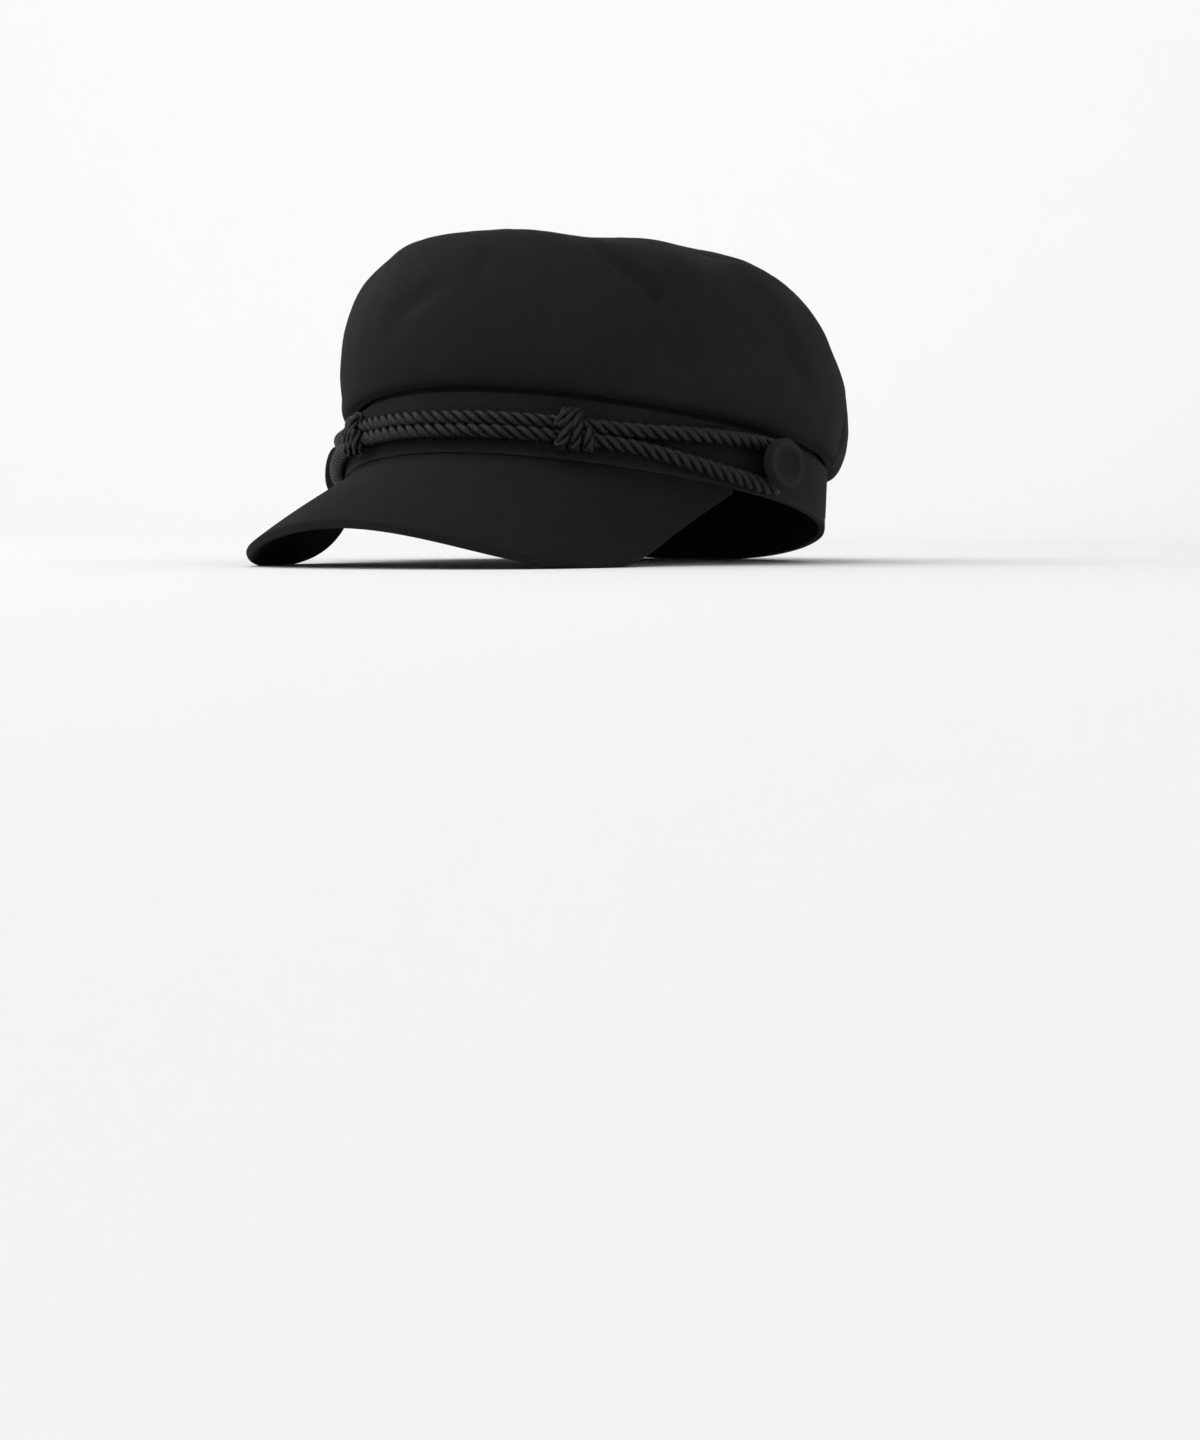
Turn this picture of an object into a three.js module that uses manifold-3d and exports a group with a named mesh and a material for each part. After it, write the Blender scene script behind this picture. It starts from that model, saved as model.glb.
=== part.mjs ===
// A soft captain's cap, resting on the back of its band and on the two low sides of its peak.
// Millimetres, +Z up. The cap faces -Y, and the wearer's left is +X.
import * as THREE from 'three';
import { mergeVertices } from 'three/addons/utils/BufferGeometryUtils.js';
import Module from 'manifold-3d';

const wasm = await Module();
wasm.setup();

// Driving sizes
const HALF_LENGTH = 96;
const HALF_WIDTH = 86.5;
const CORNER_PULL = 0.038;
const CROWN_ROUNDING = 0.5;
const BAND_HEIGHT = 20.4;
const BAND_WALL = 2.2;
const HEM_ROUNDING = 0.3;
const BAND_TAPER = 1;
const CROWN_WALL = 1.6;
const GAP = 0.3;

const PEAK_WALL = 3;
const PEAK_REACH = THREE.MathUtils.degToRad(66.5);
const PEAK_CAMBER = 1.8;

const CORD_RADIUS = 2.8;
const CORD_HEIGHT_FRONT = 8.6;
const CORD_HEIGHT_BUTTON = 9.6;
const KNOT_ANGLE = THREE.MathUtils.degToRad(28);
const KNOT_LENGTH = 13;
const KNOT_HEIGHT = 16.5;
const KNOT_DEPTH = 8.6;
const KNOT_END_SHARE = 0.75;
const KNOT_STEPS = 10;
const KNOT_SIDES = 14;

const BUTTON_ANGLE = THREE.MathUtils.degToRad(74.5);
const BUTTON_RADIUS = 8.6;
const BUTTON_THICKNESS = 4.2;
const BUTTON_EDGE = 1.3;
const BUTTON_RIM = 2.4;
const BUTTON_HOLLOW = 0.5;
const BUTTON_SIDES = 24;
const SHANK_RADIUS = 3.4;

// How far the cloth flattens where the cap rests
const PRESSED = 0.5;

// Around the head
const AROUND_STEPS = 80;
const SIDE_ROWS = 11;
const ROW_EASE = 0.75;
const TOP_ROWS = 5;

// The crown's sections, from the band's top edge up to the seam of the top panel. "out" is the
// distance outside the band's outline and "up" the height above the band's top edge.
const CROWN_SECTIONS = [
  { name: 'foot', out: { front: -1.2, side: -1.2, back: -1.2 }, up: { front: 0.3, side: 0.3, back: 0.3 } },
  { name: 'roll', out: { front: 3.2, side: 4, back: 4 }, up: { front: 2.6, side: 3.2, back: 3.4 } },
  { name: 'belly', out: { front: 9.5, side: 3.8, back: 12.5 }, up: { front: 24, side: 24, back: 18 } },
  { name: 'shoulder', out: { front: -0.5, side: -2.6, back: 4.4 }, up: { front: 52, side: 46, back: 30 } },
  { name: 'seam', out: { front: -14, side: -13, back: -4.5 }, up: { front: 58.5, side: 54.5, back: 43 } },
];
const DOME_RISE = 13;

// Soft folds and dents in the crown. "around" is the direction in degrees from the front towards
// the wearer's left. "up" is the share of the way from the band to the seam, and from 1 to 2 the
// share of the way from the seam to the top's middle. "wide" is across the fold and "long" along
// it, in the same measure as "around". "lean" turns the fold from upright, in degrees. A negative
// depth swells out.
const CROWN_FOLDS = [
  { name: 'left front hollow', around: 66, up: 0.6, wide: 12, long: 26, lean: 35, depth: 3.2 },
  { name: 'left back pleat', around: 116, up: 0.3, wide: 5, long: 24, lean: -8, depth: 2.4 },
  { name: 'left back ridge', around: 125, up: 0.32, wide: 5, long: 22, lean: -8, depth: -1.4 },
  { name: 'left shoulder notch', around: 108, up: 0.84, wide: 9, long: 14, lean: -30, depth: 3.6 },
  { name: 'left top swell', around: 68, up: 1.15, wide: 17, long: 30, lean: 90, depth: -6 },
  { name: 'front crease', around: -36, up: 0.72, wide: 5, long: 16, lean: 60, depth: 1.6 },
  { name: 'top dip', around: 28, up: 1.05, wide: 8, long: 12, lean: 20, depth: 2.4 },
  { name: 'seam dimple', around: 60, up: 0.97, wide: 5, long: 8, lean: 0, depth: 1.8 },
  { name: 'right back hollow', around: -122, up: 0.5, wide: 12, long: 28, lean: 20, depth: 2.8 },
  { name: 'back sag', around: 176, up: 0.45, wide: 14, long: 30, lean: 75, depth: 2.2 },
];
const SHARE_IN_DEGREES = 42;
const FOLDS_START = 0.15;

// The peak's sections, from the middle to each end. "share" is the share of the way along the band,
// "length" the distance from the band to the outer edge, and "slope" the fall in degrees.
const PEAK_SECTIONS = [
  { name: 'middle', share: 0, length: 64, slope: 31 },
  { name: 'brow', share: 0.3, length: 60, slope: 40 },
  { name: 'low point', share: 0.55, length: 42, slope: 57 },
  { name: 'side', share: 0.8, length: 18.5, slope: 82 },
  { name: 'end', share: 1, length: 1.6, slope: 92 },
];

const cloth = () => new THREE.MeshStandardMaterial({ color: 0x232224, roughness: 0.95, metalness: 0 });
const cordCloth = () => new THREE.MeshStandardMaterial({ color: 0x2a292a, roughness: 0.6, metalness: 0 });

// A point on the band's outline, pushed out by a distance. Angle 0 is the front. The outline is an
// ellipse drawn in a little at its four corners, and "round" takes that away towards 1.
function outlinePoint(angle, out, height, round = 0) {
  const pull = 1 - (1 - round) * CORNER_PULL * Math.sin(2 * angle) ** 2;
  const [across, ahead] = [HALF_WIDTH * pull * Math.sin(angle), HALF_LENGTH * pull * Math.cos(angle)];
  const point = new THREE.Vector3(across, -ahead, height);
  return out === 0 ? point : point.addScaledVector(outlineNormal(angle), out);
}

function outlineNormal(angle) {
  const step = 0.001;
  const along = outlinePoint(angle + step, 0, 0).sub(outlinePoint(angle - step, 0, 0));
  return new THREE.Vector3(along.y, -along.x, 0).normalize();
}

// The distance that the band's outer face leans in at a height.
function bandLean(height) {
  return -BAND_TAPER * THREE.MathUtils.clamp(height / BAND_HEIGHT, 0, 1);
}

function angleAt(step) {
  return (2 * Math.PI * step) / AROUND_STEPS;
}

// A closed body from an array of equal closed loops. It closes on itself, or is capped at its ends.
function bodyFromLoops(loops, closed) {
  const size = loops[0].length;
  const positions = loops.flat().flatMap((p) => [p.x, p.y, p.z]);
  const index = [];
  const last = closed ? loops.length : loops.length - 1;
  for (let i = 0; i < last; i++) {
    const next = (i + 1) % loops.length;
    for (let j = 0; j < size; j++) {
      const k = (j + 1) % size;
      index.push(i * size + j, next * size + j, next * size + k);
      index.push(i * size + j, next * size + k, i * size + k);
    }
  }
  if (!closed) {
    capLoop(index, positions, loops[0], 0, true);
    capLoop(index, positions, loops.at(-1), (loops.length - 1) * size, false);
  }
  return outward(geometryFrom(positions, index));
}

// Closes a loop with a fan from its middle.
function capLoop(index, positions, loop, start, forward) {
  const middle = new THREE.Vector3();
  loop.forEach((p) => middle.addScaledVector(p, 1 / loop.length));
  const centre = positions.length / 3;
  positions.push(middle.x, middle.y, middle.z);
  for (let j = 0; j < loop.length; j++) {
    const k = (j + 1) % loop.length;
    if (forward) index.push(centre, start + j, start + k);
    else index.push(centre, start + k, start + j);
  }
}

function geometryFrom(positions, index) {
  const geometry = new THREE.BufferGeometry();
  geometry.setAttribute('position', new THREE.Float32BufferAttribute(positions, 3));
  geometry.setIndex(index);
  return geometry;
}

// Turns a closed body's faces outward if they point in.
function outward(geometry) {
  const position = geometry.getAttribute('position');
  const index = geometry.getIndex().array;
  const [a, b, c] = [new THREE.Vector3(), new THREE.Vector3(), new THREE.Vector3()];
  let volume = 0;
  for (let i = 0; i < index.length; i += 3) {
    a.fromBufferAttribute(position, index[i]);
    b.fromBufferAttribute(position, index[i + 1]);
    c.fromBufferAttribute(position, index[i + 2]);
    volume += a.dot(b.cross(c));
  }
  if (volume < 0) {
    for (let i = 0; i < index.length; i += 3) [index[i + 1], index[i + 2]] = [index[i + 2], index[i + 1]];
  }
  return geometry;
}

function toSolid(geometry) {
  const bare = geometry.clone();
  bare.deleteAttribute('normal');
  bare.deleteAttribute('uv');
  const merged = mergeVertices(bare, 1e-4);
  const vertProperties = new Float32Array(merged.getAttribute('position').array);
  const triVerts = new Uint32Array(merged.getIndex().array);
  return new wasm.Manifold(new wasm.Mesh({ numProp: 3, vertProperties, triVerts }));
}

function fromSolid(solid) {
  const mesh = solid.getMesh();
  return geometryFrom(Array.from(mesh.vertProperties), Array.from(mesh.triVerts));
}

// A value that goes smoothly from the front over the side to the back.
function aroundValue(values, angle) {
  const c = Math.cos(angle);
  const lengthwise = (values.front - values.back) / 2;
  const bow = (values.front + values.back) / 2 - values.side;
  return values.side + lengthwise * c + bow * c * c;
}

// The crown's profile in one direction, from the band to the seam, as distances out and up.
function crownProfile(angle) {
  const points = CROWN_SECTIONS.map((section) => new THREE.Vector3(
    aroundValue(section.out, angle), aroundValue(section.up, angle), 0));
  return new THREE.CatmullRomCurve3(points, false, 'centripetal');
}

// How far the folds push the cloth in at a direction and a share of the way up.
function foldDepth(angle, share) {
  let depth = 0;
  for (const fold of CROWN_FOLDS) {
    const apart = THREE.MathUtils.radToDeg(angle) - fold.around;
    const turned = THREE.MathUtils.euclideanModulo(apart + 180, 360) - 180;
    const raised = (share - fold.up) * SHARE_IN_DEGREES;
    const lean = THREE.MathUtils.degToRad(fold.lean);
    const across = turned * Math.cos(lean) + raised * Math.sin(lean);
    const along = -turned * Math.sin(lean) + raised * Math.cos(lean);
    depth += fold.depth * Math.exp(-((across / fold.wide) ** 2) - (along / fold.long) ** 2);
  }
  return depth;
}

// The whole crown as rows of points without thickness, from the band up to the top's middle. Row
// SIDE_ROWS is the seam.
function crownRows() {
  const rows = Array.from({ length: SIDE_ROWS + TOP_ROWS }, () => []);
  const profiles = Array.from({ length: AROUND_STEPS }, (_, i) => crownProfile(angleAt(i)));
  const seamLoop = profiles.map((profile, i) => {
    const top = profile.getPoint(1);
    return outlinePoint(angleAt(i), top.x, BAND_HEIGHT + top.y, CROWN_ROUNDING);
  });
  const middle = new THREE.Vector3();
  seamLoop.forEach((p) => middle.addScaledVector(p, 1 / AROUND_STEPS));
  middle.z += DOME_RISE;
  for (let i = 0; i < AROUND_STEPS; i++) {
    for (let row = 0; row <= SIDE_ROWS; row++) {
      const point = profiles[i].getPoint((row / SIDE_ROWS) ** ROW_EASE);
      const round = (CROWN_ROUNDING * row) / SIDE_ROWS;
      rows[row].push(outlinePoint(angleAt(i), point.x, BAND_HEIGHT + point.y, round));
    }
    for (let row = 1; row < TOP_ROWS; row++) {
      const inward = row / TOP_ROWS;
      const point = seamLoop[i].clone().lerp(middle, inward);
      point.z += DOME_RISE * (1 - (1 - inward) ** 2 - inward);
      rows[SIDE_ROWS + row].push(point);
    }
  }
  return { rows, middle };
}

// Each row's outward directions, from the neighbouring rows and points.
function crownNormals(rows, middle) {
  return rows.map((row, r) => row.map((_, i) => {
    const before = row[(i + AROUND_STEPS - 1) % AROUND_STEPS];
    const after = row[(i + 1) % AROUND_STEPS];
    const below = rows[Math.max(r - 1, 0)][i];
    const above = r + 1 < rows.length ? rows[r + 1][i] : middle;
    const round = after.clone().sub(before);
    return round.cross(above.clone().sub(below)).normalize();
  }));
}

function foldedCrown() {
  const { rows, middle } = crownRows();
  const smooth = crownNormals(rows, middle);
  rows.forEach((row, r) => {
    const inward = Math.max(r - SIDE_ROWS, 0) / TOP_ROWS;
    const share = Math.min(r / SIDE_ROWS, 1) + inward;
    const free = THREE.MathUtils.smoothstep(share, 0, FOLDS_START) * (1 - inward);
    row.forEach((p, i) => p.addScaledVector(smooth[r][i], -free * foldDepth(angleAt(i), share)));
  });
  return { rows, middle, normals: crownNormals(rows, middle) };
}

const crown = foldedCrown();

// Moves a row along the cloth by a distance towards another row.
function rowTowards(row, other, distance) {
  return row.map((p, i) => p.clone().addScaledVector(other[i].clone().sub(p).normalize(), distance));
}

function inner(row, normals) {
  return row.map((p, i) => p.clone().addScaledVector(normals[i], -CROWN_WALL));
}

function crownSideGeometry() {
  const outer = crown.rows.slice(0, SIDE_ROWS + 1);
  outer[SIDE_ROWS] = rowTowards(outer[SIDE_ROWS], outer[SIDE_ROWS - 1], GAP / 2);
  const lining = outer.map((row, r) => inner(row, crown.normals[r]));
  lining[0].forEach((p) => { p.z = Math.max(p.z, BAND_HEIGHT + GAP); });
  const loops = Array.from({ length: AROUND_STEPS }, (_, i) => [
    ...outer.map((row) => row[i]),
    ...lining.map((row) => row[i]).reverse(),
  ]);
  return bodyFromLoops(loops, true);
}

function crownTopGeometry() {
  const outer = crown.rows.slice(SIDE_ROWS);
  outer[0] = rowTowards(outer[0], outer[1], GAP / 2);
  const lining = outer.map((row, r) => inner(row, crown.normals[SIDE_ROWS + r]));
  const rings = [...outer.slice().reverse(), ...lining];
  const positions = rings.flat().flatMap((p) => [p.x, p.y, p.z]);
  const index = [];
  for (let r = 0; r < rings.length - 1; r++) {
    for (let i = 0; i < AROUND_STEPS; i++) {
      const next = (i + 1) % AROUND_STEPS;
      const [low, high] = [r * AROUND_STEPS, (r + 1) * AROUND_STEPS];
      index.push(low + i, low + next, high + next);
      index.push(low + i, high + next, high + i);
    }
  }
  const top = crown.middle;
  const under = top.clone().setZ(top.z - CROWN_WALL);
  const topIndex = positions.length / 3;
  positions.push(top.x, top.y, top.z, under.x, under.y, under.z);
  const lastRing = (rings.length - 1) * AROUND_STEPS;
  for (let i = 0; i < AROUND_STEPS; i++) {
    const next = (i + 1) % AROUND_STEPS;
    index.push(topIndex, next, i);
    index.push(topIndex + 1, lastRing + i, lastRing + next);
  }
  return outward(geometryFrom(positions, index));
}

// The band: an upright ring of cloth that leans in a little, with rounded hems.
function bandGeometry() {
  const hem = BAND_WALL * HEM_ROUNDING;
  const top = bandLean(BAND_HEIGHT);
  const loops = Array.from({ length: AROUND_STEPS }, (_, i) => {
    const section = [
      [-hem, 0], [0, hem], [top, BAND_HEIGHT - hem], [top - hem, BAND_HEIGHT],
      [top - BAND_WALL, BAND_HEIGHT], [-BAND_WALL, 0],
    ];
    return section.map(([out, height]) => outlinePoint(angleAt(i), out, height));
  });
  return bodyFromLoops(loops, true);
}

// The peak's length and slope at a share of the way from its middle to its end.
const otherHalf = PEAK_SECTIONS.slice(1).reverse().map((row) => ({ ...row, share: -row.share }));
const wholePeak = [...otherHalf, ...PEAK_SECTIONS];
const peakShares = wholePeak.map((row) => row.share);
const peakValues = wholePeak.flatMap((row) => [row.length, THREE.MathUtils.degToRad(row.slope)]);
const peakCurve = new THREE.CubicInterpolant(peakShares, peakValues, 2);

// A point on the peak's upper face. "along" goes from 0 at the band to 1 at the outer edge.
function peakPoint(share, along, below) {
  const [length, slope] = peakCurve.evaluate(share);
  const arch = 4 * PEAK_CAMBER * (length / PEAK_SECTIONS[0].length) * along * (1 - along) - below;
  const out = -BAND_WALL * HEM_ROUNDING + along * length * Math.cos(slope) + arch * Math.sin(slope);
  const height = -GAP - along * length * Math.sin(slope) + arch * Math.cos(slope);
  return outlinePoint(share * PEAK_REACH, out, height);
}

const PEAK_STEPS = 44;
const PEAK_ROWS = 7;

// The peak's closed section at a share of the way along: the upper face, the rounded rim and the
// lower face back to the band.
function peakSection(share) {
  const edge = PEAK_WALL * 0.3;
  const inset = edge / peakCurve.evaluate(share)[0];
  const upper = [];
  const lower = [];
  for (let row = 0; row <= PEAK_ROWS; row++) {
    const along = (row / PEAK_ROWS) * (1 - inset);
    upper.push(peakPoint(share, along, 0));
    lower.push(peakPoint(share, along, PEAK_WALL));
  }
  const rim = [peakPoint(share, 1, edge), peakPoint(share, 1, PEAK_WALL - edge)];
  return [...upper, ...rim, ...lower.reverse()];
}

const peakLoops = Array.from({ length: PEAK_STEPS + 1 }, (_, i) => peakSection((2 * i) / PEAK_STEPS - 1));

// The cap leans back until the low sides of the peak touch the surface that its back hem stands on.
const hemPoint = outlinePoint(Math.PI, -BAND_WALL * HEM_ROUNDING, 0);
const REST_PITCH = Math.max(...peakLoops.flat().map((p) => Math.atan2(-p.z, hemPoint.y - p.y)));
const restTurn = new THREE.Matrix4().makeRotationX(-REST_PITCH);
const hemHeight = hemPoint.clone().applyMatrix4(restTurn).z;

// Flattens a piece where it meets the surface.
function flattened(geometry) {
  const size = 5 * HALF_LENGTH;
  const block = new THREE.BoxGeometry(size, size, size);
  block.translate(0, 0, hemHeight + PRESSED - size / 2);
  block.applyMatrix4(restTurn.clone().invert());
  return fromSolid(toSolid(geometry).subtract(toSolid(block)));
}

// The arc length along the band's face, from the front to an angle.
const ARC_STEPS = 720;
const arcTable = [0];
for (let i = 1; i <= ARC_STEPS; i++) {
  const [from, to] = [(Math.PI * (i - 1)) / ARC_STEPS, (Math.PI * i) / ARC_STEPS];
  arcTable.push(arcTable[i - 1] + outlinePoint(from, 0, 0).distanceTo(outlinePoint(to, 0, 0)));
}

function arcAt(angle) {
  const place = (Math.abs(angle) / Math.PI) * ARC_STEPS;
  const i = Math.min(Math.floor(place), ARC_STEPS - 1);
  return Math.sign(angle) * THREE.MathUtils.lerp(arcTable[i], arcTable[i + 1], place - i);
}

function angleAtArc(arc) {
  const target = Math.abs(arc);
  const i = arcTable.findIndex((value) => value >= target);
  const part = (target - arcTable[i - 1]) / (arcTable[i] - arcTable[i - 1]);
  return (Math.sign(arc) * Math.PI * (i - 1 + part)) / ARC_STEPS;
}

// A point off the band's face, placed by its arc length from the front and its height.
function facePoint(arc, height, out) {
  return outlinePoint(arc === 0 ? 0 : angleAtArc(arc), bandLean(height) + out, height);
}

// The cord: one loop that runs twice across the front and turns round both button shanks.
const CORD_TURN = SHANK_RADIUS + 2 * GAP + CORD_RADIUS;
const CORD_OUT = CORD_RADIUS + GAP;
const BUTTON_ARC = arcAt(BUTTON_ANGLE);
const KNOT_ARC = arcAt(KNOT_ANGLE);
const CORD_SIDES = 8;
const CORD_STEPS = 120;

function cordRoute() {
  const strand = [];
  const close = CORD_RADIUS + GAP / 2;
  const frontPoints = 6;
  for (let i = -frontPoints; i <= frontPoints; i++) {
    const arc = ((KNOT_ARC + KNOT_LENGTH / 2) * i) / frontPoints;
    strand.push([arc, cordMiddle(arc), close]);
  }
  const spread = 4;
  for (let i = 1; i < spread; i++) {
    const from = KNOT_ARC + KNOT_LENGTH / 2;
    const arc = THREE.MathUtils.lerp(from, BUTTON_ARC, i / spread);
    const apart = THREE.MathUtils.lerp(close, CORD_TURN, THREE.MathUtils.smoothstep(i / spread, 0, 1));
    strand.push([arc, cordMiddle(arc), apart]);
    strand.unshift([-arc, cordMiddle(arc), apart]);
  }
  const upper = strand.map(([arc, middle, apart]) => facePoint(arc, middle + apart, CORD_OUT));
  const lower = strand.map(([arc, middle, apart]) => facePoint(arc, middle - apart, CORD_OUT)).reverse();
  return [...upper, ...cordTurnPoints(1), ...lower, ...cordTurnPoints(-1)];
}

function cordMiddle(arc) {
  const share = Math.min(Math.abs(arc) / BUTTON_ARC, 1);
  return THREE.MathUtils.lerp(CORD_HEIGHT_FRONT, CORD_HEIGHT_BUTTON, share);
}

// The half turn round one button's shank, from the upper run to the lower on the wearer's left, and
// back up on the right.
function cordTurnPoints(side) {
  const points = [];
  const turnSteps = 6;
  for (let i = 0; i <= turnSteps; i++) {
    const turn = Math.PI / 2 - (Math.PI * i) / turnSteps;
    const arc = side * (BUTTON_ARC + CORD_TURN * Math.cos(turn));
    points.push(facePoint(arc, CORD_HEIGHT_BUTTON + side * CORD_TURN * Math.sin(turn), CORD_OUT));
  }
  return points;
}

function cordGeometry() {
  const route = new THREE.CatmullRomCurve3(cordRoute(), true, 'centripetal');
  const tube = new THREE.TubeGeometry(route, CORD_STEPS, CORD_RADIUS, CORD_SIDES, true);
  return fromSolid(toSolid(tube));
}

// A sliding knot: a rounded lump wound round both runs of the cord, flat towards the band.
function knotGeometry(side) {
  const middle = cordMiddle(KNOT_ARC);
  const loops = [];
  for (let i = 0; i <= KNOT_STEPS; i++) {
    const along = (2 * i) / KNOT_STEPS - 1;
    const swell = KNOT_END_SHARE + (1 - KNOT_END_SHARE) * Math.sqrt(1 - along ** 2);
    const arc = side * KNOT_ARC + (along * KNOT_LENGTH) / 2;
    const loop = [];
    for (let j = 0; j < KNOT_SIDES; j++) {
      const turn = (2 * Math.PI * j) / KNOT_SIDES;
      const height = middle + (swell * KNOT_HEIGHT * Math.cos(turn)) / 2;
      const out = GAP + (KNOT_DEPTH * swell * (1 + Math.sin(turn))) / 2;
      loop.push(facePoint(arc, height, out));
    }
    loops.push(loop);
  }
  const cordRoom = new THREE.CatmullRomCurve3(cordRoute(), true, 'centripetal');
  const room = new THREE.TubeGeometry(cordRoom, CORD_STEPS, CORD_RADIUS + GAP, CORD_SIDES, true);
  return fromSolid(toSolid(bodyFromLoops(loops, false)).subtract(toSolid(room)));
}

// A flat covered button with a raised rim, on a shank that the cord passes round.
function buttonGeometry() {
  const back = 2 * CORD_OUT + GAP;
  const front = back + BUTTON_THICKNESS;
  const flat = BUTTON_RADIUS - BUTTON_EDGE;
  const hollow = flat - BUTTON_RIM;
  const profile = [
    [0, 0], [SHANK_RADIUS, 0], [SHANK_RADIUS, back], [flat, back],
    [BUTTON_RADIUS, back + BUTTON_EDGE], [BUTTON_RADIUS, front - BUTTON_EDGE], [flat, front],
    [(flat + hollow) / 2, front], [hollow, front - BUTTON_HOLLOW], [0, front - BUTTON_HOLLOW],
  ];
  const lathe = new THREE.LatheGeometry(profile.map(([r, h]) => new THREE.Vector2(r, h)), BUTTON_SIDES);
  return fromSolid(toSolid(lathe));
}

function placedButton(name, side) {
  const mesh = new THREE.Mesh(buttonGeometry(), cloth());
  mesh.name = name;
  const angle = side * BUTTON_ANGLE;
  const lean = Math.atan2(BAND_TAPER, BAND_HEIGHT);
  const normal = outlineNormal(angle).setZ(Math.tan(lean)).normalize();
  mesh.quaternion.setFromUnitVectors(new THREE.Vector3(0, 1, 0), normal);
  mesh.position.copy(outlinePoint(angle, bandLean(CORD_HEIGHT_BUTTON) + GAP, CORD_HEIGHT_BUTTON));
  return mesh;
}

function named(name, geometry, material) {
  const mesh = new THREE.Mesh(geometry, material);
  mesh.name = name;
  return mesh;
}

const cap = new THREE.Group();
cap.add(
  named('crown_side', crownSideGeometry(), cloth()),
  named('crown_top', crownTopGeometry(), cloth()),
  named('band', flattened(bandGeometry()), cloth()),
  named('peak', flattened(bodyFromLoops(peakLoops, false)), cloth()),
  named('cord', cordGeometry(), cordCloth()),
  named('knot_left', knotGeometry(1), cordCloth()),
  named('knot_right', knotGeometry(-1), cordCloth()),
  placedButton('button_left', 1),
  placedButton('button_right', -1),
);
cap.rotation.x = -REST_PITCH;

// The origin is below the middle of the cap, on the surface that it rests on.
const model = new THREE.Group();
model.add(cap);
model.updateMatrixWorld(true);
const box = new THREE.Box3().setFromObject(cap, true);
cap.position.set(-(box.min.x + box.max.x) / 2, -(box.min.y + box.max.y) / 2, -hemHeight - PRESSED);

export default model;
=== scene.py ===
"""A soft captain's cap of dark cloth, resting on a plain floor."""
import math

import bpy
import numpy as np
from mathutils import Matrix, Vector, noise
from mathutils.kdtree import KDTree


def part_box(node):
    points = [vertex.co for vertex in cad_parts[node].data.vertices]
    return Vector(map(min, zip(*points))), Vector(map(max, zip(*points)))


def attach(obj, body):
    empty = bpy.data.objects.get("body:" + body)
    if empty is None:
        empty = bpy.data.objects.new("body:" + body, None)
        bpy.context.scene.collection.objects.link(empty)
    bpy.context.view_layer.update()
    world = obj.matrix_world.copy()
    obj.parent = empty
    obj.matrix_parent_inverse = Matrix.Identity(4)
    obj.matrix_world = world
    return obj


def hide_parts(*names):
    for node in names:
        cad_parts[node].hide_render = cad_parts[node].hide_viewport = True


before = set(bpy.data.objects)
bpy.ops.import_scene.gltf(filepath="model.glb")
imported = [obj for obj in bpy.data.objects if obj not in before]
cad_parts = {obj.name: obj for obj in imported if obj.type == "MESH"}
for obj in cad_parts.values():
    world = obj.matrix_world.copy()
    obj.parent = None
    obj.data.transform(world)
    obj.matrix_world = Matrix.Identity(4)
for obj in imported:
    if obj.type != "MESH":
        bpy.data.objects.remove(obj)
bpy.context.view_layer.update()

# ---------- sizes, in metres and radians ----------
# The band's outline is an oval, pulled in a little at its four corners
HALF_LENGTH = 0.096
HALF_WIDTH = 0.0865
CORNER_PULL = 0.038
BAND_HEIGHT = 0.0204
BAND_WALL = 0.0022
BAND_TAPER = 0.001
CLOTH = 0.0016
GAP = 0.0003

# The cap leans back on its hem and on the low sides of its peak
REST_PITCH = math.radians(11.2728)
REST_SHIFT = (0.0, 0.020941, 0.018137)
AT_REST = Matrix.Translation(REST_SHIFT) @ Matrix.Rotation(-REST_PITCH, 4, "X")

# The peak's sections: share of its reach along the band, length, and slope in degrees
PEAK_REACH = math.radians(66.5)
PEAK_CAMBER = 0.0018
PEAK_WALL = 0.003
PEAK_SHARES = (-1, -0.8, -0.55, -0.3, 0, 0.3, 0.55, 0.8, 1)
PEAK_LENGTHS = (0.0016, 0.0185, 0.042, 0.06, 0.064, 0.06, 0.042, 0.0185, 0.0016)
PEAK_SLOPES = (92, 82, 57, 40, 31, 40, 57, 82, 92)
PEAK_ROOT = -0.00066
PEAK_SEAM_WIDTH = 0.0008
PEAK_SEAM_GAP = 0.000005

# The cord: height of its middle at the front and at the buttons, length of one full twist,
# how far its two runs are pressed together, and its strands as shares of its radius
CORD_RADIUS = 0.0028
CORD_LIFT = CORD_RADIUS + GAP
CORD_LOW = 0.0086
CORD_LOW_SIDE = 0.0096
CORD_LAY = 0.0123
CORD_PRESS = 0.0006
CORD_RINGS = 1040
STRANDS = 3
STRAND_OUT = 0.55
STRAND_SIZE = 0.45

# The knots: place, size, and their own thinner cord with how its turns draw together
KNOT_ANGLE = math.radians(28)
KNOT_LENGTH = 0.013
KNOT_HEIGHT = 0.0152
KNOT_DEPTH = 0.0086
KNOT_TURNS = 3.0
KNOT_CORD_RADIUS = 0.0021
KNOT_CORD_LAY = 0.0105
KNOT_FAN = 0.45
KNOT_BEHIND = 0.0016
KNOT_RINGS = 260

BUTTON_ANGLE = math.radians(74.5)
BUTTON_RADIUS = 0.0086
BUTTON_THICK = 0.0042
# Steps of the button's face, from its edge inwards: width and height
BUTTON_FACE = ((0.0036, 0), (0.0007, -0.0005), (0.0018, -0.00008), (0.0014, 0.00006))
BUTTON_ROUNDING = 0.0013
SHANK_RADIUS = 0.0034
CORD_TURN = SHANK_RADIUS + 2 * GAP + CORD_RADIUS

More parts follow.
